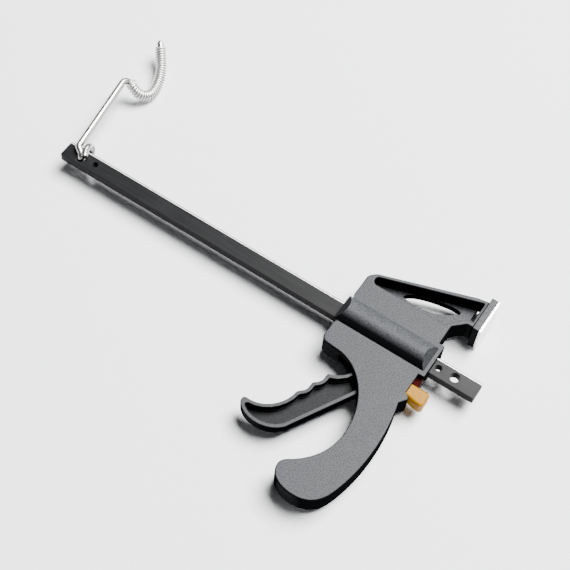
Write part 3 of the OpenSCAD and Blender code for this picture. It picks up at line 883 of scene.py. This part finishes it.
def flat_layout():
    """The hook past its straight shank: neck, bowl, lip and straight end, flat in the hook's plane."""
    points = [(0.0, 0.0)]
    shares = range(1, layout_steps + 1)
    for i in shares:
        h = math.radians(neck_turn * i / layout_steps)
        points.append((neck_r * math.sin(h), neck_r * (1 - math.cos(h))))
    turn = math.radians(neck_turn)
    centre = (points[-1][0] + bowl_r * math.sin(turn), points[-1][1] - bowl_r * math.cos(turn))
    for i in shares:
        h = math.radians(neck_turn * (1 - i / layout_steps))
        points.append((centre[0] - bowl_r * math.sin(h), centre[1] + bowl_r * math.cos(h)))
    centre = (centre[0], centre[1] + bowl_r - lip_r)
    for i in shares:
        h = math.radians(lip_turn * i / layout_steps)
        points.append((centre[0] + lip_r * math.sin(h), centre[1] + lip_r * math.cos(h)))
    end = math.radians(lip_turn)
    last = points[-1]
    for i in shares:
        run = lip_len * i / layout_steps
        points.append((last[0] + run * math.cos(end), last[1] - run * math.sin(end)))
    return points


def in_hook_plane(p):
    return shank_from + (shank_len + p[0]) * hook_along + p[1] * hook_across


def smooth_path(points, spacing):
    """Points an even distance apart along a path."""
    result = [points[0].copy()]
    carried = 0.0
    for a, b in zip(points, points[1:]):
        length = (b - a).length
        at = spacing - carried
        while at <= length:
            result.append(a.lerp(b, at / length))
            at += spacing
        carried = (carried + length) % spacing
    return result


def eased(points, rounds):
    """Rounds the small kinks of a path and keeps its ends."""
    for _ in range(rounds):
        middle = [(a + 2 * b + c) / 4 for a, b, c in zip(points, points[1:], points[2:])]
        points = [points[0]] + middle + [points[-1]]
    return points


def eye_ring():
    """The turn of wire through the bar's bore, from its tail round to the shank."""
    ring = []
    steps = 96
    for i in range(steps + 1):
        a = 360 - 360 * i / steps
        t = math.radians(a)
        ring.append(Vector((hook_x + eye_side(a), eye_y - eye_r * math.sin(t), eye_r * math.cos(t))))
    return ring


def build_hook():
    ring = eye_ring()
    tail_z = eye_r + 0.1
    tail = [Vector((hook_x + 2.3, -0.4, tail_z)), Vector((hook_x + 1.3, 1.1, tail_z)), ring[0]]
    tail = smooth_path(tail, spacing=0.35)
    shank = [shank_from + s * hook_along for s in range(1, int(shank_len))]
    bend = [in_hook_plane(p) for p in flat_layout()]
    path = eased(tail[:-1] + ring, rounds=3) + shank + bend
    path = eased(smooth_path(path, spacing=0.4), rounds=2)
    radii = [wire_r - 0.25, wire_r - 0.05] + [wire_r] * (len(path) - 2)
    tip, heading = path[-1], (path[-1] - path[-2]).normalized()
    for a in (20, 40, 58, 74, 85):     # degrees round the tip's half ball
        path.append(tip + wire_r * math.sin(math.radians(a)) * heading)
        radii.append(wire_r * math.cos(math.radians(a)))
    piece = sweep("bent_wire_hook", path, radii, sides=28)
    finish_piece(piece, "hook", hook_nickel, ["wire_hook"], crease=WIRE_CREASE)


def build_sleeve():
    """A close-wound coil that lines the hook's bend."""
    coil_wire_r, pitch, per_turn = 0.5, 1.14, 26
    centre_r = sleeve_r - coil_wire_r
    spacing, short_of_tip, reach = 0.05, 1.9, 8
    line = smooth_path([in_hook_plane(p) for p in flat_layout()[sleeve_start:]], spacing)
    line = line[:-int(short_of_tip / spacing)]
    step = pitch / per_turn
    count = int((len(line) - 1) * spacing / step)
    last = len(line) - 1
    normal = hook_across.cross(hook_along)
    path = []
    for i in range(count + 1):
        at = min(last - 1, i * step / spacing)
        k = int(at)
        centre = line[k].lerp(line[k + 1], at - k)
        heading = (line[min(k + reach, last)] - line[max(k - reach, 0)]).normalized()
        side = normal.cross(heading)
        a = -2 * math.pi * i / per_turn
        path.append(centre + centre_r * (math.cos(a) * normal + math.sin(a) * side))
    piece = sweep("hook_coil_sleeve", path, coil_wire_r, sides=10)
    finish_piece(piece, "hook", sleeve_nickel, ["hook_sleeve"], crease=WIRE_CREASE)


# ---------------------------------------------------------------------------
# Inner springs, screws and the CAD pieces that are shown as they are
# ---------------------------------------------------------------------------

def build_coil_spring(name, node, wire_d, turns):
    """A round-wire spring about the bar, closed at each end."""
    low, high = box_mm(node)
    r = (high.z - low.z) / 2 - wire_d / 2
    start, end = low.x + wire_d / 2, high.x - wire_d / 2
    per_turn, closed_turns = 40, 0.7
    count = int(turns * per_turn)
    closed = closed_turns / turns
    path = []
    for i in range(count + 1):
        t = i / count
        share = min(1, max(0, (t - closed) / (1 - 2 * closed)))
        a = 2 * math.pi * turns * t
        path.append(Vector((start + (end - start) * share, r * math.cos(a), r * math.sin(a))))
    piece = sweep(name, path, wire_d / 2, sides=12)
    finish_piece(piece, "housing", spring_steel, [node], crease=WIRE_CREASE)
    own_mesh(piece)


def build_shell_screws():
    """Six pan-headed cross screws in the back shell's counterbores, each turned differently."""
    low, high = box_mm("shell_screws")
    for i, (x, y) in enumerate(screw_spots):
        head = rod(f"shell_screw_{i + 1}", (x, y, low.z), (x, y, low.z + 1.5), 2.1, sides=40, ease=0.3)
        shank = rod("shank", (x, y, low.z + 1.4), (x, y, high.z), 1.08, sides=32, ease=0.2)
        combine(head, [shank], "UNION")
        turned = Matrix.Translation((x, y, low.z)) @ Matrix.Rotation(0.5 + 1.3 * i, 4, "Z")
        slot_half, slot_reach, slot_depth = 0.3, 1.2, 0.85
        cross = [block("slot", (-a, -b, -1), (a, b, slot_depth))
                 for a, b in ((slot_half, slot_reach), (slot_reach, slot_half))]
        for arm in cross:
            arm.data.transform(turned)
        combine(head, cross, "DIFFERENCE")
        finish_piece(head, "housing", screw_steel, ["shell_screws"])


def show_cad_node(node, material):
    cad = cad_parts[node]
    cad.data.materials.clear()
    cad.data.materials.append(material)


build_bar()
build_shells()
build_pad()
build_pad_screw()
build_trigger()
build_cap()
build_hook()
build_sleeve()
build_coil_spring("drive_coil_spring", "drive_spring", 0.9, 7.5)
build_coil_spring("brake_coil_spring", "brake_spring", 0.7, 4)
build_shell_screws()
for node_name, node_steel in (("drive_lever", lever_steel), ("brake_lever", lever_steel),
                              ("trigger_pin", pin_steel), ("brake_pin", pin_steel)):
    show_cad_node(node_name, node_steel)


# ---------------------------------------------------------------------------
# Floor, light and camera
# ---------------------------------------------------------------------------

def build_stage():
    """A floor just under the clamp."""
    bm = bmesh.new()
    bmesh.ops.create_grid(bm, x_segments=1, y_segments=1, size=2.0)
    mesh = bpy.data.meshes.new("floor")
    bm.to_mesh(mesh)
    bm.free()
    floor = bpy.data.objects.new("floor", mesh)
    floor.location = (0, 0, cad_box[0].z - FLOOR_GAP)
    scene.collection.objects.link(floor)
    mesh.materials.append(pale_floor("floor"))


def area_light(name, position, target, size, power, tint):
    data = bpy.data.lights.new(name, "AREA")
    data.shape = "SQUARE"
    data.size = size
    data.energy = power
    data.color = tint
    light = bpy.data.objects.new(name, data)
    light.location = position
    light.rotation_euler = (Vector(target) - Vector(position)).to_track_quat("-Z", "Y").to_euler()
    scene.collection.objects.link(light)


def build_light():
    target = (-0.07, -0.01, 0)
    area_light("key", (0.38, 0.88, 1.85), target, 1.3, 244.0, (1, 0.995, 0.985))
    area_light("side", (1.7, -0.1, 0.8), target, 0.9, 6.0, (0.96, 0.98, 1))
    world = bpy.data.worlds.new("studio")
    scene.world = world
    world.use_nodes = True
    background = world.node_tree.nodes["Background"]
    background.inputs["Color"].default_value = (0.93, 0.96, 1, 1)
    background.inputs["Strength"].default_value = 0.05


def build_camera():
    """Looks down on the clamp from its grip side, rolled a little, through a long lens."""
    data = bpy.data.cameras.new("camera")
    data.sensor_width = 36
    data.lens = 80.8
    data.clip_start, data.clip_end = 0.05, 10
    camera = bpy.data.objects.new("camera", data)
    camera.location = (0.05187, -0.23453, 0.44897)
    camera.rotation_euler = [math.radians(a) for a in (30.602, -2.526, 33.550)]
    scene.collection.objects.link(camera)
    scene.camera = camera


build_stage()
build_light()
build_camera()
